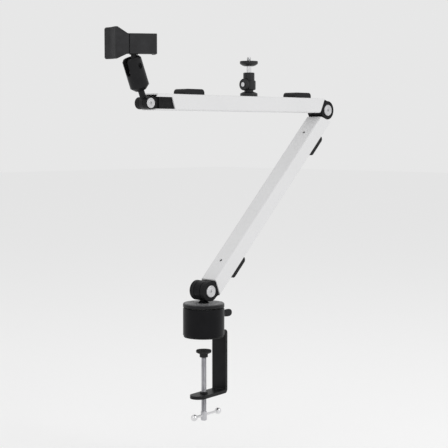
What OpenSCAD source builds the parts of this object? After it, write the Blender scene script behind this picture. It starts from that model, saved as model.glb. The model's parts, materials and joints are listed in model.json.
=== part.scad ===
// Two-segment clamp-on arm with a spring clip head and a small ball head, for holding hobby tools.
// Millimetres. Origin at the centre of the base on the plane of the table top, +Z up.
// The arms fold in the XZ plane, the elbow is towards +X, and the arm pivots run along Y.

/* [Arms] */
// Distance between the shoulder and elbow pivots
arm_length = 380; // [300:5:420]
// Angle of the lower arm above the horizontal
lower_angle = 45.6; // [20:0.1:90]
// Width of the arm tubes across the pivots
tube_width = 32; // [28:0.5:36]
// Height of the arm tubes
tube_height = 23.4; // [20:0.2:26]
// Wall of the arm tubes
tube_wall = 1.8; // [1.2:0.1:2.4]
// Distance of the tube's inner face from the pivot
pivot_offset = 4.3; // [2:0.1:8]

/* [Base] */
// Radius of the round base
base_radius = 31; // [26:0.5:36]
// Height of the shoulder pivot above the table
shoulder_height = 69.46; // [60:0.1:80]
// Turn of the table clamp about the upright axis
clamp_turn = 10; // [-30:1:30]
// Thickness of the table that the clamp holds at rest
clamp_gap = 20; // [5:1:36]

/* [Head] */
// Lean of the head link from the upright, away from the arm
head_lean = 22; // [0:1:29]
// Turn of the spring clip about the upright axis
clip_turn = -35; // [-90:1:90]
// Radius of the ball under the spring clip
holder_ball_r = 8.5; // [7:0.1:9]

/* [Hidden] */
$fn = 48;
p1x = arm_length * cos(lower_angle);
p1z = shoulder_height + arm_length * sin(lower_angle);
p2x = -115.5;
p2z = 346.4;
tube_top = pivot_offset - tube_height;
s_wrist = p1x - p2x;
zt = p1z - tube_top;
head_x = 97;
ball_c = 54;
bracket_holes = [[-16, 7], [-16, -7], [18, 0]];
bx = p2x - ball_c * sin(head_lean);
bz = p2z + ball_c * cos(head_lean);
clip_z = bz + 18.2;
lower_b = arm_length - 54;
silver = [0.83, 0.83, 0.84];
black = [0.05, 0.05, 0.055];
dark = [0.13, 0.13, 0.14];
steel = [0.62, 0.62, 0.64];
brassy = [0.72, 0.56, 0.28];

module ycyl(r, y0, y1, fn = 48) {
    translate([0, y1, 0]) rotate([90, 0, 0]) cylinder(r = r, h = y1 - y0, $fn = fn);
}

module xcyl(r, x0, x1, fn = 32) {
    translate([x0, 0, 0]) rotate([0, 90, 0]) cylinder(r = r, h = x1 - x0, $fn = fn);
}

module yplate(pts, y0, y1) {
    translate([0, y1, 0]) rotate([90, 0, 0]) linear_extrude(height = y1 - y0) polygon(pts);
}

module rrect(w, h, r) {
    offset(r = r, $fn = 24) square([w - 2 * r, h - 2 * r], center = true);
}

module in_lower() {
    translate([0, 0, shoulder_height]) rotate([0, -lower_angle, 0]) children();
}

module in_upper() {
    translate([p1x, 0, p1z]) rotate([0, 180, 0]) children();
}

module in_link() {
    translate([p2x, 0, p2z]) rotate([0, -head_lean, 0]) children();
}

module in_clip() {
    translate([bx, 0, 0]) rotate([0, 0, clip_turn]) children();
}

module in_clamp() {
    rotate([0, 0, clamp_turn]) children();
}

// ---- table clamp ----

module clamp_bracket() {
    color(dark) in_clamp() difference() {
        union() {
            translate([0, 12.5, 0]) rotate([90, 0, 0]) linear_extrude(height = 25) difference() {
                offset(r = 6, $fn = 32) polygon([[-50, -85], [38.4, -85], [38.4, 1], [-50, 1]]);
                offset(r = 1.5, $fn = 32) polygon([[-70, -84.5], [37.9, -84.5], [37.9, 0.5], [-70, 0.5]]);
                translate([-90, -100]) square([76, 120]);
            }
            for (z = [-91, 2]) translate([-14, 0, z]) intersection() {
                cylinder(r = 12.5, h = 5);
                translate([-20, -20, 0]) cube([20.2, 40, 5]);
            }
        }
        translate([0, 0, -92]) cylinder(r = 5.05, h = 7, $fn = 32);
        for (p = bracket_holes) translate([p[0], p[1], 1.9]) {
            cylinder(r1 = 4.1, r2 = 2.05, h = 2.3, $fn = 32);
            cylinder(r = 2.05, h = 6, $fn = 32);
        }
    }
}

module bracket_screws() {
    color(steel) in_clamp() for (p = bracket_holes) {
        translate([p[0], p[1], 2.05]) difference() {
            union() {
                cylinder(r1 = 3.95, r2 = 1.98, h = 2.1, $fn = 32);
                cylinder(r = 1.98, h = 12, $fn = 32);
            }
            translate([0, 0, -0.1]) cylinder(r = 1.2, h = 1.6, $fn = 6);
        }
    }
}

module clamp_bush() {
    color(black) translate([0, 0, -90.9]) difference() {
        union() {
            cylinder(r = 5, h = 7.6, $fn = 32);
            translate([0, 0, 4.95]) cylinder(r1 = 6, r2 = 5.5, h = 2.6, $fn = 48);
        }
        translate([0, 0, -1]) cylinder(r = 3.95, h = 12, $fn = 32);
    }
}

module clamp_pad() {
    color(black) translate([0, 0, -clamp_gap]) difference() {
        union() {
            rotate_extrude() polygon([[0, -5], [9, -5], [11.5, -3.6], [11.5, -0.8], [10.7, 0], [0, 0]]);
            translate([0, 0, -11]) cylinder(r = 6.2, h = 7, $fn = 32);
        }
        translate([0, 0, -12]) cylinder(r = 3, h = 7.9, $fn = 32);
        translate([0, 0, -9]) cylinder(r = 3.8, h = 2.6, $fn = 32);
    }
}

module clamp_screw() {
    color(steel) difference() {
        translate([0, 0, 20 - clamp_gap]) union() {
            rotate_extrude($fn = 32) polygon([
                [0, -24.2], [2.5, -24.2], [2.95, -24.6], [2.95, -26.6], [3.7, -26.7], [3.7, -28.5],
                [2.95, -28.6], [2.95, -32], [0, -32]]);
            translate([0, 0, -113.2]) cylinder(r = 3.9, h = 81.6, $fn = 32);
            rotate_extrude($fn = 32) polygon([
                [0, -113], [3.9, -113], [4.6, -113.8], [4.6, -126], [3.6, -127], [0, -127]]);
        }
        translate([0, 0, -99 - clamp_gap]) rotate([0, 0, 9]) xcyl(2.05, -10, 10);
    }
}

module tommy_bar() {
    color(steel) rotate([0, 0, 9]) translate([6, 0, -99 - clamp_gap]) xcyl(2, -28.3, 28.3);
}

module tommy_balls() {
    color(steel) rotate([0, 0, 9]) translate([6, 0, -99 - clamp_gap]) for (s = [0, 1]) mirror([s, 0, 0]) {
        translate([30, 0, 0]) difference() {
            sphere(r = 5.1, $fn = 32);
            xcyl(2.02, -6, -1.6);
        }
    }
}

// ---- round base ----

module base_foot_pad() {
    color(black) difference() {
        rotate_extrude() polygon([[0, 0], [29.3, 0], [30, 0.6], [30, 1.95], [0, 1.95]]);
        in_clamp() for (p = bracket_holes) {
            translate([p[0], p[1], -1]) cylinder(r = 4.2, h = 4, $fn = 32);
        }
    }
}

module housing_shell() {
    difference() {
        rotate_extrude($fn = 72) polygon([
            [0, 2], [29.6, 2], [base_radius, 3.2], [base_radius, 42.8], [base_radius - 1, 44], [0, 44]]);
        cylinder(r = 27, h = 38);
    }
}

module base_housing() {
    color(black) difference() {
        union() {
            housing_shell();
            translate([0, 0, 12.3]) cylinder(r = 14, h = 28);
            for (a = [65, 110, 190, 265, 310]) rotate([0, 0, a])
                translate([13, -1.2, 14]) cube([15, 2.4, 25]);
            in_clamp() for (p = bracket_holes) {
                translate([p[0], p[1], 7.4]) cylinder(r = 4.2, h = 31.5, $fn = 32);
            }
            translate([13, -5, 25]) cube([15, 10, 14.5]);
        }
        translate([0, 0, 3]) cylinder(r = 10.05, h = 50);
        in_clamp() translate([0, -12.7, 1]) cube([40, 25.4, 6.1]);
        in_clamp() for (p = bracket_holes) {
            translate([p[0], p[1], 3]) cylinder(r = 2, h = 12, $fn = 32);
        }
        translate([0, 0, 31]) xcyl(2.55, 5, 40);
    }
}

module slip_ring() {
    color([0.75, 0.75, 0.73]) translate([0, 0, 44.02]) difference() {
        cylinder(r = 27, h = 0.56);
        translate([0, 0, -1]) cylinder(r = 12, h = 3);
    }
}

module wing_screw() {
    color(steel) translate([0, 0, 31]) {
        xcyl(2.5, 8.6, 40);
        xcyl(1.6, 7.1, 8.7);
    }
}

module wing_handle() {
    color(black) translate([0, 0, 31]) difference() {
        union() {
            xcyl(4.6, 32.2, 43);
            hull() {
                translate([40, 0, 0]) xcyl(3, 0, 2);
                for (s = [-1, 1]) translate([49, 0, 2.2 * s]) ycyl(4.4, -1.7, 1.7, 32);
                translate([54.6, 0, 0]) ycyl(4.8, -1.7, 1.7, 32);
            }
        }
        xcyl(2.52, 30, 40.1);
    }
}

// ---- swivel on the base ----

module swivel_cap() {
    color(dark) difference() {
        rotate_extrude($fn = 72) polygon([
            [9.05, 44.65], [30, 44.65], [base_radius, 45.4], [base_radius, 49.8], [29.8, 51.2],
            [9.05, 51.2]]);
        translate([0, 22, 47]) cylinder(r = 1.2, h = 6, $fn = 24);
    }
}

module swivel_spindle() {
    color(black) difference() {
        union() {
            rotate_extrude() polygon([
                [0, 12], [10, 12], [10, 27], [6.9, 28], [6.9, 34], [10, 35], [10, 44.2], [9, 44.4],
                [9, 51.2], [8, 52.2], [6, 54.2], [6, 60], [0, 60]]);
            translate([0, 0, shoulder_height]) ycyl(14.9, -6, 6);
        }
        translate([0, 0, shoulder_height]) ycyl(3.05, -8, 8, 32);
        translate([0, 0, 11]) cylinder(r = 2.95, h = 12, $fn = 32);
    }
}

module spindle_screw() {
    color(steel) difference() {
        union() {
            translate([0, 0, 7.2]) cylinder(r = 5, h = 3.2, $fn = 32);
            translate([0, 0, 10.2]) cylinder(r = 12, h = 1.7);
            translate([0, 0, 8]) cylinder(r = 2.9, h = 14, $fn = 32);
        }
        translate([0, 0, 7.1]) cylinder(r = 2, h = 1.8, $fn = 6);
    }
}

// ---- arm tubes ----

module tube_profile() {
    difference() {
        rrect(tube_width, tube_height, 2.8);
        rrect(tube_width - 2 * tube_wall, tube_height - 2 * tube_wall, 1.2);
    }
}

module tube_blank(length) {
    translate([0, 0, pivot_offset - tube_height / 2]) rotate([90, 0, 90]) {
        linear_extrude(height = length) tube_profile();
    }
}

module mitre_cut() {
    yplate([[-5, 8], [20.6, 8], [7.05, -20.7], [7.05, -24], [-5, -24]], -20, 20);
}

module lower_tube() {
    color(silver) in_lower() difference() {
        tube_blank(arm_length);
        mitre_cut();
        translate([arm_length, 0, 0]) mirror([1, 0, 0]) mitre_cut();
        for (s = [56, lower_b]) {
            translate([s, 0, 0]) cylinder(r = 2.5, h = 10, $fn = 32);
            translate([s, 0, -25]) cylinder(r = 1.55, h = 15, $fn = 24);
        }
        for (s = [36, arm_length - 36]) translate([s, 0, -7.4]) ycyl(2.1, 10, 20, 32);
    }
}

module upper_tube() {
    color(silver) in_upper() difference() {
        tube_blank(s_wrist - 8);
        mitre_cut();
        yplate([
            [s_wrist - 7, -14.4], [s_wrist - 38.4, -14.4], [s_wrist - 44, 2.5],
            [s_wrist - 7, 2.5]], -20, 20);
        yplate([[s_wrist - 13, -20.7], [s_wrist - 8, -14], [s_wrist, -14], [s_wrist, -20.7]], -20, 20);
        for (s = [56, 295]) {
            translate([s, 0, 0]) cylinder(r = 2.5, h = 10, $fn = 32);
            translate([s, 0, -25]) cylinder(r = 1.55, h = 15, $fn = 24);
        }
        translate([p1x - head_x, 0, 0]) cylinder(r = 6.5, h = 10, $fn = 32);
        translate([p1x - head_x, 0, -25]) cylinder(r = 2.6, h = 15, $fn = 32);
        translate([36, 0, -7.4]) ycyl(2.1, 10, 20, 32);
        translate([s_wrist - 56, 0, -7.4]) ycyl(2.1, 10, 20, 32);
    }
}

module plug_block(s0, s1, w) {
    translate([0, 0, pivot_offset - tube_height / 2]) translate([s0, 0, 0]) rotate([90, 0, 90]) {
        linear_extrude(height = s1 - s0) rrect(w, tube_height - 2 * tube_wall - 0.1, 1.1);
    }
}

module fork_insert() {
    difference() {
        union() {
            plug_block(16.2, 50, tube_width - 2 * tube_wall - 0.1);
            for (s = [-1, 1]) {
                translate([0, s > 0 ? 0 : -22, 0]) ycyl(14.9, 7, 15);
                translate([0, s > 0 ? 0 : -21.15, 0]) yplate([
                    [0, -14.85], [7, -17.25], [18, -17.25], [18, 2.45], [0, 2.45]], 7, 14.15);
            }
        }
        ycyl(3.02, -20, 20, 32);
        translate([24, 0, -7.4]) rotate([90, 0, 90]) linear_extrude(height = 30) rrect(22, 13.6, 2);
        translate([36, 0, -7.4]) ycyl(1.9, 5, 20, 32);
    }
}

module tongue_insert() {
    difference() {
        union() {
            plug_block(16.2, 50, tube_width - 2 * tube_wall - 0.1);
            ycyl(14.9, -6, 6);
            yplate([[0, -14.85], [7, -17.25], [18, -17.25], [18, 2.45], [0, 2.45]], -6, 6);
        }
        ycyl(3.05, -20, 20, 32);
        translate([24, 0, -7.4]) rotate([90, 0, 90]) linear_extrude(height = 30) rrect(22, 13.6, 2);
        translate([36, 0, -7.4]) ycyl(1.9, 5, 20, 32);
    }
}

module lower_fork() {
    color(black) in_lower() fork_insert();
}

module lower_tongue() {
    color(black) in_lower() translate([arm_length, 0, 0]) mirror([1, 0, 0]) tongue_insert();
}

module upper_fork() {
    color(black) in_upper() fork_insert();
}

module insert_screw(s) {
    translate([s, 0, -7.4]) ycyl(1.85, 8.3, 15.6, 24);
}

module clip_screw(s) {
    translate([s, 0, tube_top - 1.6]) cylinder(r = 1.45, h = 3.8, $fn = 24);
    translate([s, 0, tube_top + tube_wall + 0.05]) cylinder(r = 2.35, h = 1.6, $fn = 24);
}

module lower_screws() {
    color(steel) in_lower() {
        for (s = [36, arm_length - 36]) insert_screw(s);
        for (s = [56, lower_b]) clip_screw(s);
    }
}

module upper_screws() {
    color(steel) in_upper() {
        for (s = [36, s_wrist - 56]) insert_screw(s);
        for (s = [56, 295]) clip_screw(s);
    }
}

module pivot_pin(r, head, y, tail) {
    difference() {
        union() {
            ycyl(r, -y - 0.5, tail, 32);
            translate([0, -y - 0.05, 0]) rotate([90, 0, 0]) rotate_extrude($fn = 48) polygon([
                [0, 0], [head, 0], [head, 1], [head - 0.8, 1.8], [0, 1.8]]);
        }
        ycyl(head * 0.34, -y - 3, -y - 0.7, 6);
    }
}

module lock_nut(af, bore, y0, h) {
    difference() {
        ycyl(af / 2 / cos(30), y0, y0 + h, 6);
        ycyl(bore, y0 - 1, y0 + h + 1, 32);
    }
}

module friction_pair(r, bore, y0, y1) {
    for (s = [0, 1]) mirror([0, s, 0]) difference() {
        ycyl(r, y0, y1);
        ycyl(bore, y0 - 1, y1 + 1, 32);
    }
}

module shoulder_pin() {
    color(silver) in_lower() pivot_pin(3, 9, 15, 21);
}

module shoulder_nut() {
    color(steel) in_lower() lock_nut(10, 3.02, 15.05, 5);
}

module shoulder_washers() {
    color([0.8, 0.8, 0.78]) in_lower() friction_pair(12.5, 3.1, 6.03, 6.97);
}

module elbow_pin() {
    color(silver) in_upper() pivot_pin(3, 8.85, 15, 21);
}

module elbow_nut() {
    color(steel) in_upper() lock_nut(10, 3.02, 15.05, 5);
}

module elbow_washers() {
    color([0.8, 0.8, 0.78]) in_upper() friction_pair(12.5, 3.1, 6.03, 6.97);
}

// ---- cable clips on the arms ----

module cable_clip(screw_s, s) {
    translate([s, 0, tube_top - 0.05]) difference() {
        translate([0, 12, 0]) rotate([90, 0, 0]) linear_extrude(height = 24) {
            polygon([
                [-19.5, 0], [19.5, 0], [19.5, -4], [17.8, -6.8], [15, -8], [-15, -8], [-17.8, -6.8],
                [-19.5, -4]]);
        }
        translate([screw_s - s, 0, -2.5]) cylinder(r = 1.5, h = 3, $fn = 24);
    }
}

module lower_clip_a() {
    color(black) in_lower() cable_clip(56, 65.5);
}

module lower_clip_b() {
    color(black) in_lower() cable_clip(lower_b, 321.9);
}

module upper_clip_a() {
    color(black) in_upper() cable_clip(56, 57.5);
}

module upper_clip_b() {
    color(black) in_upper() cable_clip(295, 295);
}

// ---- wrist ----

module wrist_fork() {
    color(black) in_upper() difference() {
        union() {
            plug_block(s_wrist - 80, s_wrist - 43, tube_width - 2 * tube_wall - 0.1);
            yplate([
                [s_wrist - 46, -15.4], [s_wrist - 12, -14.1], [s_wrist, -14.1], [s_wrist, 3.2],
                [s_wrist - 10, 2.4], [s_wrist - 46, 2.4]], -12, 12);
            yplate([
                [s_wrist - 46, -15.4], [s_wrist - 14, -14.1], [s_wrist - 14, 2.4], [s_wrist - 46, 2.4]],
                -14.1, 14.1);
            translate([s_wrist, 0, p1z - p2z]) ycyl(8.7, -12, 12);
        }
        translate([s_wrist, 0, p1z - p2z]) ycyl(11, -4.6, 4.6);
        translate([s_wrist, -4.6, -30]) cube([20, 9.2, 40]);
        translate([s_wrist, 0, p1z - p2z]) difference() {
            translate([0, -20, -20]) cube([30, 40, 40]);
            ycyl(8.7, -30, 30);
        }
        translate([s_wrist, 0, p1z - p2z]) ycyl(2.52, -20, 20, 32);
        translate([s_wrist - 81, 0, -7.4]) rotate([90, 0, 90]) linear_extrude(height = 38) {
            rrect(21, 12.6, 2);
        }
        translate([s_wrist - 56, 0, -7.4]) ycyl(1.9, 5, 20, 32);
    }
}

module wrist_pin() {
    color(silver) translate([p2x, 0, p2z]) pivot_pin(2.5, 7.25, 12, 17);
}

module wrist_nut() {
    color(steel) translate([p2x, 0, p2z]) lock_nut(8, 2.52, 12.05, 4);
}

module wrist_washers() {
    color([0.8, 0.8, 0.78]) translate([p2x, 0, p2z]) friction_pair(7.6, 2.6, 4.03, 4.57);
}

// ---- head link with the ball socket ----

module head_stem() {
    color(black) in_link() difference() {
        union() {
            ycyl(8.7, -4, 4);
            intersection() {
                cylinder(r = 4.5, h = 19.7, $fn = 32);
                translate([-10, -4, 0]) cube([20, 8, 11]);
            }
            translate([0, 0, 10.4]) cylinder(r = 4.5, h = 9.3, $fn = 32);
            translate([0, 0, 19]) cylinder(r = 4, h = 12, $fn = 32);
        }
        ycyl(2.55, -10, 10, 32);
    }
}

module head_socket() {
    color(black) in_link() difference() {
        rotate_extrude($fn = 64) polygon([
            [4.05, 19.8], [8, 19.8], [13.7, 25.2], [13.7, 64.4], [11.4, 67.4], [10.3, 67.4], [7.48, 58.4],
            [7.66, 58], [8.4, 56], [8.62, 54], [8.62, 39], [4.05, 39]]);
        hull() {
            translate([0, 0, ball_c - 5]) rotate([0, -90, 0]) cylinder(r = 4.6, h = 16, $fn = 32);
            translate([0, 0, 80]) rotate([0, -90, 0]) cylinder(r = 4.6, h = 16, $fn = 32);
        }
        translate([0, 0, ball_c + 1]) ycyl(4, -16, -6, 32);
    }
}

module socket_seat() {
    color([0.2, 0.2, 0.21]) in_link() difference() {
        translate([0, 0, 39.1]) cylinder(r = 8.5, h = 12, $fn = 48);
        translate([0, 0, ball_c]) sphere(r = 8.55, $fn = 48);
        translate([-12, -4.7, 44]) cube([8, 9.4, 11]);
    }
}

module socket_lock_screw() {
    color(dark) in_link() translate([0, 0, ball_c + 1]) difference() {
        ycyl(3.9, -11.2, -8.95, 32);
        ycyl(2, -12, -10, 6);
    }
}

module holder_ball() {
    color(steel) translate([bx, 0, bz]) difference() {
        union() {
            sphere(r = holder_ball_r, $fn = 48);
            cylinder(r = 4, h = 16.9, $fn = 32);
            translate([0, 0, 16]) cylinder(r = 2.5, h = 8, $fn = 32);
        }
        translate([0, 0, 22]) cylinder(r = 1, h = 5, $fn = 6);
    }
}

module holder_washer() {
    color(black) translate([bx, 0, bz + 17]) difference() {
        cylinder(r = 6, h = 1.1, $fn = 32);
        translate([0, 0, -1]) cylinder(r = 2.55, h = 4, $fn = 32);
    }
}

// ---- spring clip ----

module rbox(u0, u1, v0, v1, w0, w1, r) {
    translate([u0 + r, v0 + r, w0]) linear_extrude(height = w1 - w0) {
        offset(r = r, $fn = 24) square([u1 - u0 - 2 * r, v1 - v0 - 2 * r]);
    }
}

module holder_body() {
    color(dark) in_clip() difference() {
        union() {
            rbox(-6.6, 32.2, -7, 7, clip_z, clip_z + 28, 2);
            translate([0, 0, clip_z]) linear_extrude(height = 28) offset(r = 1.2, $fn = 24) polygon([
                [29.1, 0], [31, 0], [31, 19], [28.7, 19], [29.1, 12]]);
        }
        translate([0, 0, clip_z - 1]) cylinder(r = 4.55, h = 7, $fn = 32);
        for (z = [9.5, 21.5]) translate([0, 0, clip_z + z]) xcyl(1.6, -8, 28.3, 32);
        translate([0, 0, clip_z + 15.5]) xcyl(3.4, -8, 28.3, 32);
    }
}

module holder_nut() {
    color(brassy) in_clip() translate([0, 0, clip_z + 0.1]) difference() {
        cylinder(r = 4.5, h = 5.6, $fn = 32);
        translate([0, 0, -1]) cylinder(r = 2.55, h = 8, $fn = 32);
    }
}

module holder_pad() {
    color([0.09, 0.09, 0.09]) in_clip() rbox(-5.6, 25.6, 7.05, 8.4, clip_z + 3, clip_z + 25, 0.6);
}

module fixed_jaw_pad() {
    color([0.09, 0.09, 0.09]) in_clip() rbox(25.9, 27.4, 9, 19.2, clip_z + 3, clip_z + 25, 0.6);
}

module holder_spring() {
    color(steel) in_clip() translate([-6.5, 0, clip_z + 15.5]) rotate([0, 90, 0]) rotate_extrude($fn = 24) {
        polygon(concat(
            [[1.9, 0], [3, 0]],
            [for (k = [0:2:32]) [k % 4 == 0 ? 3.1 : 2.5, k + 1]],
            [[3, 34.5], [1.9, 34.5]]));
    }
}

module jaw_rails() {
    color(steel) in_clip() for (z = [9.5, 21.5]) translate([0, 0, clip_z + z]) xcyl(1.5, -12, 28, 32);
}

module sliding_jaw() {
    color(dark) in_clip() difference() {
        intersection() {
            translate([0, 0, clip_z - 6.7]) linear_extrude(height = 44) offset(r = 0.8, $fn = 16) polygon([
                [-7.9, -6.2], [-25.6, -6.2], [-31.8, 12.2], [-38.5, 18.4], [-36.4, 20.6], [-29, 13.4],
                [-26.2, 6.2], [-7.9, 6.2]]);
            translate([0, 40, clip_z + 14]) rotate([90, 0, 0]) linear_extrude(height = 80) {
                offset(r = 3, $fn = 24) polygon([
                    [-4, -11], [-9.8, -11], [-24, -17.7], [-36.4, -17.7], [-36.4, 20.3], [-24, 20.3],
                    [-9.8, 11], [-4, 11]]);
            }
            translate([-60, -30, clip_z - 8]) cube([53.2, 80, 50]);
        }
        for (z = [9.5, 21.5]) translate([0, 0, clip_z + z]) xcyl(1.52, -12.1, 0, 32);
    }
}

module sliding_jaw_pad() {
    color([0.09, 0.09, 0.09]) in_clip() translate([0, 0, clip_z - 2]) linear_extrude(height = 32) {
        polygon([[-28.2, 13.7], [-25.7, 7.37], [-24.5, 7.84], [-27, 14.2]]);
    }
}

// ---- small ball head on the upper arm ----

module ballhead_foot() {
    color(black) translate([head_x, 0, zt]) difference() {
        rotate_extrude() polygon([
            [0, 0.05], [13.35, 0.05], [13.35, 4.4], [12.9, 4.9], [9.2, 6.8], [0, 6.8]]);
        translate([0, 0, -1]) cylinder(r = 2.62, h = 9, $fn = 32);
    }
}

module ballhead_screw() {
    color(steel) translate([head_x, 0, zt]) difference() {
        union() {
            translate([0, 0, -4.4]) cylinder(r = 5.4, h = 2.5, $fn = 32);
            translate([0, 0, -3]) cylinder(r = 2.5, h = 15, $fn = 32);
        }
        translate([0, 0, -4.5]) cylinder(r = 2, h = 1.8, $fn = 6);
    }
}

module ballhead_body() {
    color(black) translate([head_x, 0, zt]) difference() {
        rotate_extrude($fn = 64) polygon([
            [0, 6.9], [7, 6.9], [7, 9.6], [9.6, 9.9], [10.5, 10.8], [10.5, 23.2], [9.6, 24.2], [8.65, 24.6],
            [8.65, 35.3], [7.8, 36.2], [0, 36.2]]);
        translate([0, 0, 30.2]) sphere(r = 7.25, $fn = 48);
        translate([0, 0, 34]) cylinder(r1 = 6.0, r2 = 6.7, h = 2.3, $fn = 48);
        translate([0, 0, 20.6]) cylinder(r = 6.15, h = 8, $fn = 32);
        translate([0, 0, 6]) cylinder(r = 2.55, h = 7, $fn = 32);
        translate([-20, -12, 8.9]) cube([12.7, 24, 18.2]);
        translate([0, 0, 18]) xcyl(2.05, -12, -1);
    }
}

module ball_seat() {
    color([0.75, 0.75, 0.72]) translate([head_x, 0, zt]) difference() {
        translate([0, 0, 20.7]) cylinder(r = 6.05, h = 5.6, $fn = 32);
        translate([0, 0, 30.2]) sphere(r = 7.25, $fn = 48);
    }
}

module lock_knob() {
    color(black) translate([head_x, 0, zt + 18]) difference() {
        translate([-12.5, 0, 0]) rotate([0, 90, 0]) rotate_extrude($fn = 48) polygon([
            [0, 0], [8.3, 0], [9, 0.7], [9, 4.4], [8.4, 5], [0, 5]]);
        xcyl(2.02, -14, -5);
        for (a = [0:30:330]) rotate([a, 0, 0]) translate([0, 9.6, 0]) xcyl(1.1, -14, -5, 12);
    }
}

module knob_screw() {
    color(steel) translate([head_x, 0, zt + 18]) difference() {
        union() {
            xcyl(2, -12.6, -1.2);
            xcyl(3.4, -13.4, -12.55);
        }
        translate([-13.6, -0.35, -3]) cube([0.6, 0.7, 6]);
    }
}

module ball_stem() {
    color(silver) translate([head_x, 0, zt + 30.2]) difference() {
        union() {
            sphere(r = 7.2, $fn = 48);
            cylinder(r = 3.7, h = 17, $fn = 32);
        }
        translate([0, 0, 11]) cylinder(r = 2.05, h = 8, $fn = 32);
    }
}

module accessory_plate() {
    color(black) translate([head_x, 0, zt]) difference() {
        rotate_extrude($fn = 64) polygon([
            [0, 46], [7, 46], [10.4, 47.2], [13.3, 49.3], [13.75, 49.8], [13.75, 53.2], [13.2, 53.8],
            [0, 53.8]]);
        translate([0, 0, 45]) cylinder(r = 3.72, h = 2.3, $fn = 32);
        translate([0, 0, 45]) cylinder(r = 2.55, h = 10, $fn = 32);
    }
}

module accessory_screw() {
    color(steel) translate([head_x, 0, zt]) {
        translate([0, 0, 47.35]) cylinder(r = 2.5, h = 6.6, $fn = 32);
        translate([0, 0, 53.85]) cylinder(r = 3.175, h = 5.7, $fn = 32);
        translate([0, 0, 59.5]) cylinder(r1 = 3.175, r2 = 2.5, h = 0.7, $fn = 32);
        translate([0, 0, 41.4]) cylinder(r = 2.0, h = 6.2, $fn = 32);
    }
}

clamp_bracket();
bracket_screws();
clamp_bush();
clamp_pad();
clamp_screw();
tommy_bar();
tommy_balls();
base_foot_pad();
base_housing();
slip_ring();
wing_screw();
wing_handle();
swivel_cap();
swivel_spindle();
spindle_screw();
lower_tube();
lower_fork();
lower_tongue();
lower_screws();
shoulder_pin();
shoulder_nut();
shoulder_washers();
lower_clip_a();
lower_clip_b();
upper_tube();
upper_fork();
wrist_fork();
upper_screws();
elbow_pin();
elbow_nut();
elbow_washers();
upper_clip_a();
upper_clip_b();
wrist_pin();
wrist_nut();
wrist_washers();
ballhead_foot();
ballhead_screw();
ballhead_body();
ball_seat();
lock_knob();
knob_screw();
ball_stem();
accessory_plate();
accessory_screw();
head_stem();
head_socket();
socket_seat();
socket_lock_screw();
holder_ball();
holder_washer();
holder_body();
holder_nut();
holder_pad();
fixed_jaw_pad();
holder_spring();
jaw_rails();
sliding_jaw();
sliding_jaw_pad();
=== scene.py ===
"""Looks for the clamp-on arm holder stand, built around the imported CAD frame."""
import json
import math
import bmesh
import bpy
from mathutils import Matrix, Vector


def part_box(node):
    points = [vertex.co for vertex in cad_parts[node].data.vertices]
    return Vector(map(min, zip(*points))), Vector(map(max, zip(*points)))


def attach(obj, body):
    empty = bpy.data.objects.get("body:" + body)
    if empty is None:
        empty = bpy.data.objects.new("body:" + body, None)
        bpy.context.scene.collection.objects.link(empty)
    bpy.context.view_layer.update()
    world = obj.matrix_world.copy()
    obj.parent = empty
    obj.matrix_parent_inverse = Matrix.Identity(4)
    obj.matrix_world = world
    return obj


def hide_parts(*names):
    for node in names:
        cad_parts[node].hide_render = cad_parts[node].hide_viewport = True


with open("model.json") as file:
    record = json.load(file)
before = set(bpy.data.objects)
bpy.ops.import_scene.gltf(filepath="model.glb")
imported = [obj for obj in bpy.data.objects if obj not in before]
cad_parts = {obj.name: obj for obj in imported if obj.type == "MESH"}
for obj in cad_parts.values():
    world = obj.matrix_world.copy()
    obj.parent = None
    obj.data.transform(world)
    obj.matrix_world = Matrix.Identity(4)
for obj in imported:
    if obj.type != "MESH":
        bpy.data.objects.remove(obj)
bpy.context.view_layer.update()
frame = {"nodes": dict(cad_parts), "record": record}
NODES = frame["nodes"]

MM = 0.001
BASE_MATS = {}

BAR_TURN = math.radians(9)        # the tommy bar's direction from +X
BAR_HALF = 28.3                   # half of the bar's length
BALL_REACH = 30.0                 # from the bar's middle to each ball's centre
CLIP_TURN = math.radians(-35)     # the spring clip's direction from +X
SPRING_REACH = 34.5
SPRING_TURNS = 13
FLOOR_HALF = 12.0
FLOOR_Z = -0.2
LIGHT_TARGET = (0.05, 0, 0.2)


# ---------------------------------------------------------------- materials

def new_material(name):
    mat = bpy.data.materials.new(name)
    mat.use_nodes = True
    tree = mat.node_tree
    bsdf = tree.nodes["Principled BSDF"]
    return mat, tree, bsdf


def add_noise(tree, coords, scale, detail=4.0, rough=0.55):
    noise = tree.nodes.new("ShaderNodeTexNoise")
    noise.inputs["Scale"].default_value = scale
    noise.inputs["Detail"].default_value = detail
    noise.inputs["Roughness"].default_value = rough
    tree.links.new(coords, noise.inputs["Vector"])
    return noise.outputs["Fac"]


def map_range(tree, value, low, high, frm=(0.3, 0.7)):
    node = tree.nodes.new("ShaderNodeMapRange")
    node.inputs["From Min"].default_value = frm[0]
    node.inputs["From Max"].default_value = frm[1]
    node.inputs["To Min"].default_value = low
    node.inputs["To Max"].default_value = high
    tree.links.new(value, node.inputs["Value"])
    return node.outputs["Result"]


def mix_colour(tree, factor, low, high):
    node = tree.nodes.new("ShaderNodeMix")
    node.data_type = "RGBA"
    node.inputs[6].default_value = (*low, 1)
    node.inputs[7].default_value = (*high, 1)
    tree.links.new(factor, node.inputs[0])
    return node


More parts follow.
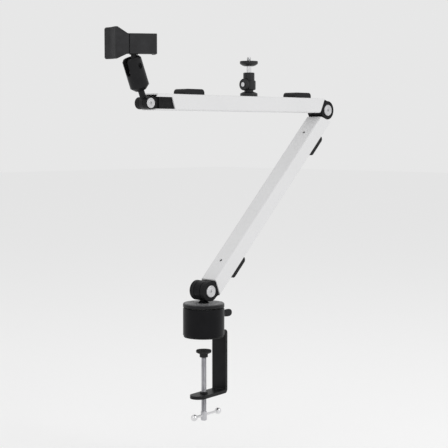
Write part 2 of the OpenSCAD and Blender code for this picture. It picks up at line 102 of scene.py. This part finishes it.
def surface(name, low, high, metallic, rough, grain, bump, tint_scale=60.0, stretch=(1, 1, 1),
            turned=0.0, specular=0.5, speckle=None, spread=0.12):
    """A finish with slight colour drift, slightly uneven gloss and a fine grain in relief."""
    mat, tree, bsdf = new_material(name)
    coord = tree.nodes.new("ShaderNodeTexCoord")
    mapping = tree.nodes.new("ShaderNodeMapping")
    mapping.inputs["Scale"].default_value = stretch
    tree.links.new(coord.outputs["Object"], mapping.inputs["Vector"])
    plain = coord.outputs["Object"]
    drift = map_range(tree, add_noise(tree, plain, tint_scale, 5.0), 0.0, 1.0)
    colour = mix_colour(tree, drift, low, high)
    # With speckle, faces turned upward get the lighter grey drift colour and light flecks as a painted highlight
    # standing in for light from above; steeper faces keep the near-black side colour.
    if speckle:
        scale, fleck_colour, band, side_colour = speckle
        spots = map_range(tree, add_noise(tree, plain, scale, 2.0, 0.4), 0.0, 1.0, band)
        over = tree.nodes.new("ShaderNodeMix")
        over.data_type = "RGBA"
        over.inputs[7].default_value = (*fleck_colour, 1)
        tree.links.new(spots, over.inputs[0])
        tree.links.new(colour.outputs[2], over.inputs[6])
        geometry = tree.nodes.new("ShaderNodeNewGeometry")
        split = tree.nodes.new("ShaderNodeSeparateXYZ")
        tree.links.new(geometry.outputs["Normal"], split.inputs[0])
        painted_top_light = map_range(tree, split.outputs["Z"], 0.0, 1.0, (0.55, 0.8))
        colour = tree.nodes.new("ShaderNodeMix")
        colour.data_type = "RGBA"
        colour.inputs[6].default_value = (*side_colour, 1)
        tree.links.new(painted_top_light, colour.inputs[0])
        tree.links.new(over.outputs[2], colour.inputs[7])
    tree.links.new(colour.outputs[2], bsdf.inputs["Base Color"])
    bsdf.inputs["Metallic"].default_value = metallic
    bsdf.inputs["Specular IOR Level"].default_value = specular
    gloss = add_noise(tree, mapping.outputs["Vector"], grain * 0.35, 4.0)
    tree.links.new(map_range(tree, gloss, rough * (1 - spread), rough * (1 + spread)),
                   bsdf.inputs["Roughness"])
    relief = add_noise(tree, mapping.outputs["Vector"], grain, 6.0, 0.62)
    bump_node = tree.nodes.new("ShaderNodeBump")
    bump_node.inputs["Strength"].default_value = bump
    bump_node.inputs["Distance"].default_value = 0.0002
    tree.links.new(relief, bump_node.inputs["Height"])
    tree.links.new(bump_node.outputs["Normal"], bsdf.inputs["Normal"])
    if turned:
        bsdf.inputs["Anisotropic"].default_value = turned
    BASE_MATS[name] = mat


surface("tube_silver", (0.705, 0.705, 0.71), (0.725, 0.725, 0.73), 0.0, 0.5, 2600.0, 0.03,
        tint_scale=18.0, stretch=(0.12, 1, 0.12), specular=0.3, spread=0.05)
surface("joint_black", (0.006, 0.006, 0.007), (0.013, 0.013, 0.014), 0.0, 0.50, 1500.0, 0.30,
        tint_scale=150.0, specular=0.12)
surface("base_black", (0.005, 0.005, 0.006), (0.008, 0.008, 0.009), 0.0, 0.36, 2200.0, 0.05,
        tint_scale=40.0, specular=0.10)
surface("socket_black", (0.006, 0.006, 0.007), (0.010, 0.010, 0.011), 0.0, 0.36, 2600.0, 0.05,
        tint_scale=60.0, specular=0.18)
surface("head_black", (0.011, 0.011, 0.012), (0.018, 0.018, 0.019), 0.0, 0.36, 2600.0, 0.05,
        tint_scale=90.0, specular=0.3)
# cap_speckle: the grey colours and light flecks show only on upward faces, a painted highlight from light above;
# the sides keep the near-black colour.
surface("cap_speckle", (0.10, 0.10, 0.105), (0.13, 0.13, 0.135), 0.0, 0.45, 1600.0, 0.10,
        tint_scale=120.0, specular=0.25,
        speckle=(1100.0, (0.55, 0.55, 0.55), (0.56, 0.66), (0.006, 0.006, 0.007)))
surface("bracket_paint", (0.007, 0.007, 0.008), (0.012, 0.012, 0.013), 0.0, 0.42, 1300.0, 0.10,
        tint_scale=50.0, specular=0.15)
surface("black_plastic", (0.008, 0.008, 0.009), (0.013, 0.013, 0.014), 0.0, 0.45, 2400.0, 0.10,
        tint_scale=120.0, specular=0.18)
surface("clip_plastic", (0.020, 0.020, 0.021), (0.030, 0.030, 0.032), 0.0, 0.58, 2800.0, 0.25,
        tint_scale=90.0, specular=0.22)
surface("seat_plastic", (0.16, 0.16, 0.17), (0.20, 0.20, 0.21), 0.0, 0.5, 1800.0, 0.1)
surface("pad_rubber", (0.012, 0.012, 0.012), (0.020, 0.020, 0.020), 0.0, 0.78, 1800.0, 0.3,
        specular=0.25)
surface("grip_rubber", (0.016, 0.016, 0.017), (0.026, 0.026, 0.027), 0.0, 0.8, 1600.0, 0.4,
        specular=0.25)
surface("nylon", (0.66, 0.66, 0.63), (0.74, 0.74, 0.71), 0.0, 0.5, 1200.0, 0.1)
surface("steel", (0.46, 0.46, 0.48), (0.60, 0.60, 0.62), 1.0, 0.32, 3000.0, 0.1, turned=0.3)
surface("pin_cap", (0.56, 0.56, 0.57), (0.64, 0.64, 0.65), 0.6, 0.36, 3200.0, 0.08,
        tint_scale=200.0, turned=0.4)
surface("screw_steel", (0.46, 0.46, 0.48), (0.58, 0.58, 0.60), 1.0, 0.3, 3000.0, 0.08, turned=0.3)
surface("bright_steel", (0.68, 0.68, 0.69), (0.80, 0.80, 0.81), 1.0, 0.2, 3000.0, 0.04)
surface("spring_steel", (0.30, 0.30, 0.32), (0.42, 0.42, 0.44), 1.0, 0.35, 3000.0, 0.08)
surface("brass_insert", (0.55, 0.40, 0.16), (0.68, 0.52, 0.24), 1.0, 0.3, 2400.0, 0.1)

for entry in frame["record"]["subparts"]:
    node_object = NODES[entry["node"]]
    finish = BASE_MATS[entry["material_slot"]]
    if not node_object.material_slots:
        node_object.data.materials.append(finish)
    for material_slot in node_object.material_slots:
        material_slot.material = finish


# ---------------------------------------------------------------- mesh makers (millimetres in, metres out)

def mesh_object(name, verts, faces, place=Matrix.Identity(4), smooth=30):
    mesh = bpy.data.meshes.new(name)
    mesh.from_pydata([tuple(place @ (Vector(v) * MM)) for v in verts], [], faces)
    mesh.validate()
    bm = bmesh.new()
    bm.from_mesh(mesh)
    bmesh.ops.remove_doubles(bm, verts=bm.verts, dist=1e-7)
    bmesh.ops.recalc_face_normals(bm, faces=bm.faces)
    bm.to_mesh(mesh)
    bm.free()
    obj = bpy.data.objects.new(name, mesh)
    bpy.context.scene.collection.objects.link(obj)
    mesh.shade_smooth()
    mesh.set_sharp_from_angle(angle=math.radians(smooth))
    return obj


def lathe(profile, seg=72, radius=None):
    """Vertices and faces of a solid turned about Z. radius(angle, r, z) may reshape the rim."""
    verts, faces, rings = [], [], []
    for r, z in profile:
        if r < 1e-6:
            verts.append((0, 0, z))
            rings.append([len(verts) - 1] * seg)
        else:
            ring = []
            for j in range(seg):
                angle = 2 * math.pi * j / seg
                rr = radius(angle, r, z) if radius else r
                verts.append((rr * math.cos(angle), rr * math.sin(angle), z))
                ring.append(len(verts) - 1)
            rings.append(ring)
    for a, b in zip(rings, rings[1:]):
        for j in range(seg):
            k = (j + 1) % seg
            quad = [a[j], a[k], b[k], b[j]]
            face = [v for i, v in enumerate(quad) if v not in quad[:i]]
            if len(face) > 2:
                faces.append(face)
    return verts, faces


def rounded(points, r=0.4, steps=4):
    """A profile with each inner corner eased by a small arc."""
    out = [points[0]]
    for before, here, after in zip(points, points[1:], points[2:]):
        a, b, c = Vector(before), Vector(here), Vector(after)
        la, lc = (a - b).length, (c - b).length
        cut = min(r, la * 0.45, lc * 0.45)
        p, q = b + (a - b).normalized() * cut, b + (c - b).normalized() * cut
        for i in range(steps + 1):
            t = i / steps
            out.append(tuple(p * (1 - t) ** 2 + b * 2 * t * (1 - t) + q * t ** 2))
    out.append(points[-1])
    return out


def thread_profile(root, crest, pitch, z0, z1, seg=32, per=8):
    """A closed threaded rod: a V thread that fades out at both ends."""
    rows = int(round((z1 - z0) / pitch * per))
    verts, faces = [(0, 0, z0)], []
    for i in range(rows + 1):
        z = z0 + (z1 - z0) * i / rows
        fade = min(1.0, (z - z0) / pitch, (z1 - z) / pitch)
        for j in range(seg):
            phase = ((z - z0) / pitch - j / seg) % 1.0
            tri = 1 - abs(2 * phase - 1)
            h = min(1.0, max(0.0, (tri - 0.12) / 0.72))
            r = root + (crest - root) * h * fade
            angle = 2 * math.pi * j / seg
            verts.append((r * math.cos(angle), r * math.sin(angle), z))
    verts.append((0, 0, z1))
    for i in range(rows):
        for j in range(seg):
            k = (j + 1) % seg
            a = 1 + i * seg
            faces.append([a + j, a + k, a + seg + k, a + seg + j])
    last = 1 + rows * seg
    for j in range(seg):
        k = (j + 1) % seg
        faces.append([0, 1 + k, 1 + j])
        faces.append([last + j, last + k, len(verts) - 1])
    return verts, faces


def tube_along(points, r, seg=12):
    """A closed round bar along a list of points."""
    verts, faces = [], []
    count = len(points)
    normal = None
    for i, p in enumerate(points):
        p = Vector(p)
        ahead = Vector(points[min(i + 1, count - 1)]) - Vector(points[max(i - 1, 0)])
        ahead.normalize()
        if normal is None:
            normal = ahead.orthogonal().normalized()
        normal = (normal - ahead * normal.dot(ahead)).normalized()
        side = ahead.cross(normal)
        for j in range(seg):
            angle = 2 * math.pi * j / seg
            verts.append(tuple(p + (normal * math.cos(angle) + side * math.sin(angle)) * r))
    for i in range(count - 1):
        for j in range(seg):
            k = (j + 1) % seg
            faces.append([i * seg + j, i * seg + k, (i + 1) * seg + k, (i + 1) * seg + j])
    faces.append(list(range(seg))[::-1])
    faces.append(list(range((count - 1) * seg, count * seg)))
    return verts, faces


def join(*parts):
    verts, faces = [], []
    for vs, fs in parts:
        n = len(verts)
        verts += vs
        faces += [[i + n for i in f] for f in fs]
    return verts, faces


def shift(part, dx=0.0, dy=0.0, dz=0.0):
    return [(x + dx, y + dy, z + dz) for x, y, z in part[0]], part[1]


def finish_piece(obj, body, slot, *nodes):
    obj.data.materials.append(BASE_MATS[slot])
    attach(obj, body)
    if nodes:
        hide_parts(*nodes)
    return obj


def middle(node):
    low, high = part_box(node)
    return (low + high) / 2


def cut(obj, verts, faces, place=Matrix.Identity(4)):
    """Takes a shape out of a piece with an exact boolean, applied at once."""
    tool = mesh_object(obj.name + "_cut", verts, faces, place)
    mod = obj.modifiers.new("cut", "BOOLEAN")
    mod.operation = "DIFFERENCE"
    mod.solver = "EXACT"
    mod.object = tool
    depsgraph = bpy.context.evaluated_depsgraph_get()
    mesh = bpy.data.meshes.new_from_object(obj.evaluated_get(depsgraph))
    obj.modifiers.clear()
    obj.data = mesh
    bpy.data.objects.remove(tool)
    mesh.shade_smooth()
    mesh.set_sharp_from_angle(angle=math.radians(30))
    return obj


def hexagon(across, z0, z1):
    return lathe([(0, z0), (across / math.sqrt(3), z0), (across / math.sqrt(3), z1), (0, z1)], seg=6)


# ---------------------------------------------------------------- clamp screw, bar and pad

screw_low, screw_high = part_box("clamp_screw")
bar_mid = middle("tommy_bar")
top, bottom = screw_high.z / MM, screw_low.z / MM
core = lathe(rounded([(0, top), (2.5, top), (2.95, top - 0.4), (2.95, top - 2.4), (3.7, top - 2.5),
                      (3.7, top - 4.3), (2.95, top - 4.4), (2.95, top - 8.2), (0, top - 8.2)], 0.2), 40)
rod = thread_profile(3.25, 3.9, 1.25, bottom + 13.4, top - 7.4)
head = lathe(rounded([(0, bottom + 14), (3.4, bottom + 14), (4.6, bottom + 13.2), (4.6, bottom + 1),
                      (3.6, bottom), (0, bottom)], 0.5), 48)
screw = mesh_object("clamp_screw_threaded", *join(core, rod, head))
finish_piece(screw, "clamp_spindle", "screw_steel", "clamp_screw")

axis = Vector((math.cos(BAR_TURN), math.sin(BAR_TURN), 0))
along = axis.to_track_quat("Z", "Y").to_matrix().to_4x4()
bar_shape = lathe(rounded([(0, -BAR_HALF), (1.7, -BAR_HALF), (2.0, -BAR_HALF + 0.5), (2.0, BAR_HALF - 0.5),
                           (1.7, BAR_HALF), (0, BAR_HALF)], 0.2), 28)
bar = mesh_object("tommy_bar_turned", *bar_shape, Matrix.Translation(bar_mid) @ along)
finish_piece(bar, "tommy", "bright_steel", "tommy_bar")
ball_parts = []
for sign in (-1, 1):
    arc = [(5.1 * math.sin(math.radians(a)), -5.1 * math.cos(math.radians(a))) for a in range(0, 151, 6)]
    collar = arc + [(2.6, 4.7), (2.45, 5.2), (2.05, 5.2), (2.05, 4.3), (0, 4.3)]
    vs, fs = lathe([(r, -sign * z) for r, z in collar], 40)
    ball_parts.append(([(x, y, z + sign * BALL_REACH) for x, y, z in vs], fs))
balls = mesh_object("tommy_balls_turned", *join(*ball_parts), Matrix.Translation(bar_mid) @ along, 40)
finish_piece(balls, "tommy", "bright_steel", "tommy_balls")

pad_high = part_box("clamp_pad")[1]
pz = pad_high.z / MM
rings = [(10.9, pz), (9.4, pz), (9.2, pz - 0.35), (8.8, pz - 0.35), (8.6, pz), (6.4, pz), (6.2, pz - 0.35),
         (5.8, pz - 0.35), (5.6, pz), (3.4, pz), (3.2, pz - 0.35), (2.8, pz - 0.35), (2.6, pz), (0, pz)]
pad_shape = [(3.0, pz - 11), (5.8, pz - 11), (6.2, pz - 10.6), (6.2, pz - 5.6), (6.8, pz - 5), (9, pz - 5),
             (11.5, pz - 3.6), (11.5, pz - 0.8)] + rings
pad = mesh_object("clamp_pad_ribbed", *lathe(pad_shape + [
    (0, pz - 4.1), (3.0, pz - 4.1), (3.0, pz - 6.4), (3.8, pz - 6.4), (3.8, pz - 9), (3.0, pz - 9),
    (3.0, pz - 11)], 64))
finish_piece(pad, "clamp_foot", "pad_rubber", "clamp_pad")

# ---------------------------------------------------------------- wing screw handle

wing_low, wing_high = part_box("wing_handle")
x0, x1 = wing_low.x / MM, wing_high.x / MM
wz = middle("wing_handle").z / MM
wverts, wfaces = [], []
seg, levels = 48, 9
for level in range(levels):
    t = -1 + 2 * level / (levels - 1)
    y = 1.7 * math.sin(t * math.pi / 2)
    inset = 1.5 * (1 - math.cos(t * math.pi / 2)) if abs(t) < 1 else 1.5
    for j in range(seg):
        angle = 2 * math.pi * j / seg
        ca, sa = math.cos(angle), math.sin(angle)
        rx = (x1 - x0 - 5.2) / 2 - inset
        rz = 6.6 - inset
        px = math.copysign(abs(ca) ** 0.82, ca) * rx
        pzz = math.copysign(abs(sa) ** 0.82, sa) * rz * (0.86 + 0.14 * ca)
        dish = 0.55 * math.exp(-((px - 1.5) ** 2 + pzz ** 2) / 14.0) if abs(t) == 1 else 0.0
        wverts.append((x1 - (x1 - x0 - 5.2) / 2 + px, y - math.copysign(dish, t), wz + pzz))
for level in range(levels - 1):
    for j in range(seg):
        k = (j + 1) % seg
        wfaces.append([level * seg + j, level * seg + k, (level + 1) * seg + k, (level + 1) * seg + j])
for base_index, side in ((0, -1), ((levels - 1) * seg, 1)):
    wverts.append((x1 - (x1 - x0 - 5.2) / 2, side * 1.25, wz))
    for j in range(seg):
        wfaces.append([base_index + j, base_index + (j + 1) % seg, len(wverts) - 1])
hub_profile = rounded([(0, 0), (4.6, 0), (4.6, 8.6), (3.4, 10.8), (0, 10.8)], 0.7)
hub_turn = Matrix.Translation((x0 * MM, 0, wz * MM)) @ Matrix.Rotation(math.pi / 2, 4, "Y")


def ribbed(angle, r, z):
    return r - (0.22 * max(0.0, math.cos(angle * 12)) if r > 4.2 else 0.0)


hub = lathe(hub_profile, 96, ribbed)
hub_world = ([tuple((hub_turn @ (Vector(v) * MM)) / MM) for v in hub[0]], hub[1])
wing = mesh_object("wing_handle_moulded", *join((wverts, wfaces), hub_world), smooth=45)
finish_piece(wing, "wing", "black_plastic", "wing_handle")

# ---------------------------------------------------------------- pivot caps with a dished face and hex socket

for node_name, body, head_r in (("shoulder_pin", "lower_arm", 9.0), ("elbow_pin", "upper_arm", 8.85),
                                ("wrist_pin", "upper_arm", 7.25)):
    low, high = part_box(node_name)
    mid = middle(node_name)
    length = (high.y - low.y) / MM
    shank = 3.0 if head_r > 8 else 2.5
    face = [(0, 0.9), (head_r * 0.30, 0.9), (head_r * 0.34, 0.35), (head_r * 0.52, 0.35), (head_r * 0.56, 0.55),
            (head_r * 0.80, 0.55), (head_r * 0.84, 0.0), (head_r - 0.9, 0.0), (head_r - 0.15, 0.55),
            (head_r, 1.0), (head_r, 1.8), (shank, 1.8), (shank, length - 0.8), (shank - 0.6, length), (0, length)]
    turn = Matrix.Translation((mid.x, low.y, mid.z)) @ Matrix.Rotation(-math.pi / 2, 4, "X")
    cap = mesh_object(node_name + "_turned", *lathe(rounded(face, 0.22, 3), 72), turn)
    socket = hexagon(head_r * 0.42, -1.0, 2.2)
    cut(cap, *socket, turn)
    finish_piece(cap, body, "pin_cap", node_name)

# ---------------------------------------------------------------- small ball head

foot_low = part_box("ballhead_foot")[0]
hx = middle("ballhead_foot").x / MM
zt = foot_low.z / MM - 0.05
place = Matrix.Translation((hx * MM, 0, zt * MM))
foot = lathe(rounded([(2.62, 0.05), (13.35, 0.05), (13.35, 4.3), (12.9, 4.9), (9.2, 6.8), (2.62, 6.8),
                      (2.62, 0.05)], 0.4), 80)
finish_piece(mesh_object("ballhead_foot_turned", *foot, place), "upper_arm", "head_black", "ballhead_foot")


def knurl(angle, r, z):
    return r - (0.32 * (0.5 + 0.5 * math.cos(angle * 40)) if r > 8.2 else 0.0)


knob = lathe(rounded([(2.02, -12.5), (3.4, -12.5), (3.6, -12.1), (5.9, -12.1), (6.2, -12.5), (8.3, -12.5),
                      (9, -11.8), (9, -8.2), (8.3, -7.5), (2.02, -7.5), (2.02, -12.5)], 0.3, 3), 240, knurl)
knob_place = Matrix.Translation((hx * MM, 0, (zt + 18) * MM)) @ Matrix.Rotation(math.pi / 2, 4, "Y")
knob_obj = mesh_object("lock_knob_knurled", *knob, knob_place, 50)
finish_piece(knob_obj, "ballhead_lock", "head_black", "lock_knob")

plate = lathe(rounded([(2.55, 47.3), (3.72, 47.3), (3.72, 46), (7, 46), (10.4, 47.2), (13.3, 49.3),
                       (13.75, 49.9), (13.75, 53.1), (13.1, 53.8), (12.2, 53.8), (12.0, 53.5), (11.6, 53.5),
                       (11.4, 53.8), (9.6, 53.8), (9.4, 53.5), (9.0, 53.5), (8.8, 53.8), (7.0, 53.8),
                       (6.8, 53.5), (6.4, 53.5), (6.2, 53.8), (2.55, 53.8), (2.55, 47.3)], 0.2, 3), 160,
              lambda a, r, z: r - (0.22 * (0.5 + 0.5 * math.cos(a * 52)) if r > 13.3 else 0.0))
finish_piece(mesh_object("accessory_plate_knurled", *plate, place, 40), "ballhead_top", "head_black",
             "accessory_plate")
stud = join(lathe([(0, 41.4), (2, 41.4), (2, 47.35), (2.5, 47.35), (2.5, 54.2), (0, 54.2)], 32),
            shift(thread_profile(2.62, 3.175, 1.27, 0, 5.7, 40, 10), dz=53.85),
            lathe(rounded([(0, 59.2), (2.7, 59.2), (2.7, 59.6), (2.2, 60.2), (0, 60.2)], 0.2), 32))
stud_obj = mesh_object("accessory_screw_threaded", *stud, place)
finish_piece(stud_obj, "ballhead_top", "bright_steel", "accessory_screw")

# ---------------------------------------------------------------- coil spring inside the clip

forward = Vector((math.cos(CLIP_TURN), math.sin(CLIP_TURN), 0))
spring_mid = middle("holder_spring")
points = []
for i in range(SPRING_TURNS * 16 + 1):
    t = i / (SPRING_TURNS * 16)
    turn = 2 * math.pi * SPRING_TURNS * t
    side = Vector((-forward.y, forward.x, 0)) * (2.6 * math.cos(turn)) + Vector((0, 0, 2.6 * math.sin(turn)))
    points.append(tuple(spring_mid / MM + forward * ((t - 0.5) * (SPRING_REACH - 1)) + side))
spring = mesh_object("holder_spring_coil", *tube_along(points, 0.4, 8), smooth=60)
finish_piece(spring, "clip", "spring_steel", "holder_spring")

# ---------------------------------------------------------------- camera, floor and light

azimuth, pitch = math.radians(45.15), math.radians(4.16)
ahead = Vector((math.sin(azimuth) * math.cos(pitch), math.cos(azimuth) * math.cos(pitch), -math.sin(pitch)))
right = Vector((math.cos(azimuth), -math.sin(azimuth), 0))
upward = right.cross(ahead)
eye = -ahead * 1.8729 + right * 0.03037 + upward * 0.16871
camera_data = bpy.data.cameras.new("camera")
camera_data.lens = 100.45
camera_data.sensor_width = 36.0
camera_data.clip_start = 0.05
camera_data.clip_end = 50.0
camera = bpy.data.objects.new("camera", camera_data)
rotation = Matrix((right, upward, -ahead)).transposed().to_4x4()
camera.matrix_world = Matrix.Translation(eye) @ rotation
bpy.context.scene.collection.objects.link(camera)
bpy.context.scene.camera = camera

floor_mesh = bpy.data.meshes.new("floor")
floor_mesh.from_pydata([(x * FLOOR_HALF, y * FLOOR_HALF, FLOOR_Z) for x, y in ((-1, -1), (1, -1), (1, 1), (-1, 1))],
                       [], [(0, 1, 2, 3)])
floor = bpy.data.objects.new("floor", floor_mesh)
bpy.context.scene.collection.objects.link(floor)
floor_mat, _, floor_bsdf = new_material("floor_plain")
floor_bsdf.inputs["Base Color"].default_value = (0.97, 0.97, 0.97, 1)
floor_bsdf.inputs["Specular IOR Level"].default_value = 0.0
floor_bsdf.inputs["Roughness"].default_value = 1.0
floor_mesh.materials.append(floor_mat)

world = bpy.data.worlds.new("studio")
world.use_nodes = True
world.node_tree.nodes["Background"].inputs["Color"].default_value = (1.0, 1.0, 1.0, 1)
world.node_tree.nodes["Background"].inputs["Strength"].default_value = 0.8
bpy.context.scene.world = world


def area_light(name, where, target, width, power):
    data = bpy.data.lights.new(name, "AREA")
    data.shape = "SQUARE"
    data.size = width
    data.energy = power
    obj = bpy.data.objects.new(name, data)
    obj.location = where
    obj.rotation_euler = (Vector(target) - Vector(where)).to_track_quat("-Z", "Y").to_euler()
    bpy.context.scene.collection.objects.link(obj)


area_light("key", (0.6, -2.2, 1.3), LIGHT_TARGET, 1.0, 12)
area_light("fill", (-2.1, -0.4, 1.1), LIGHT_TARGET, 1.2, 4)
area_light("top", (0.2, 0.3, 2.2), LIGHT_TARGET, 1.4, 2)
bpy.context.scene.view_settings.view_transform = "Standard"
bpy.context.scene.view_settings.look = "None"
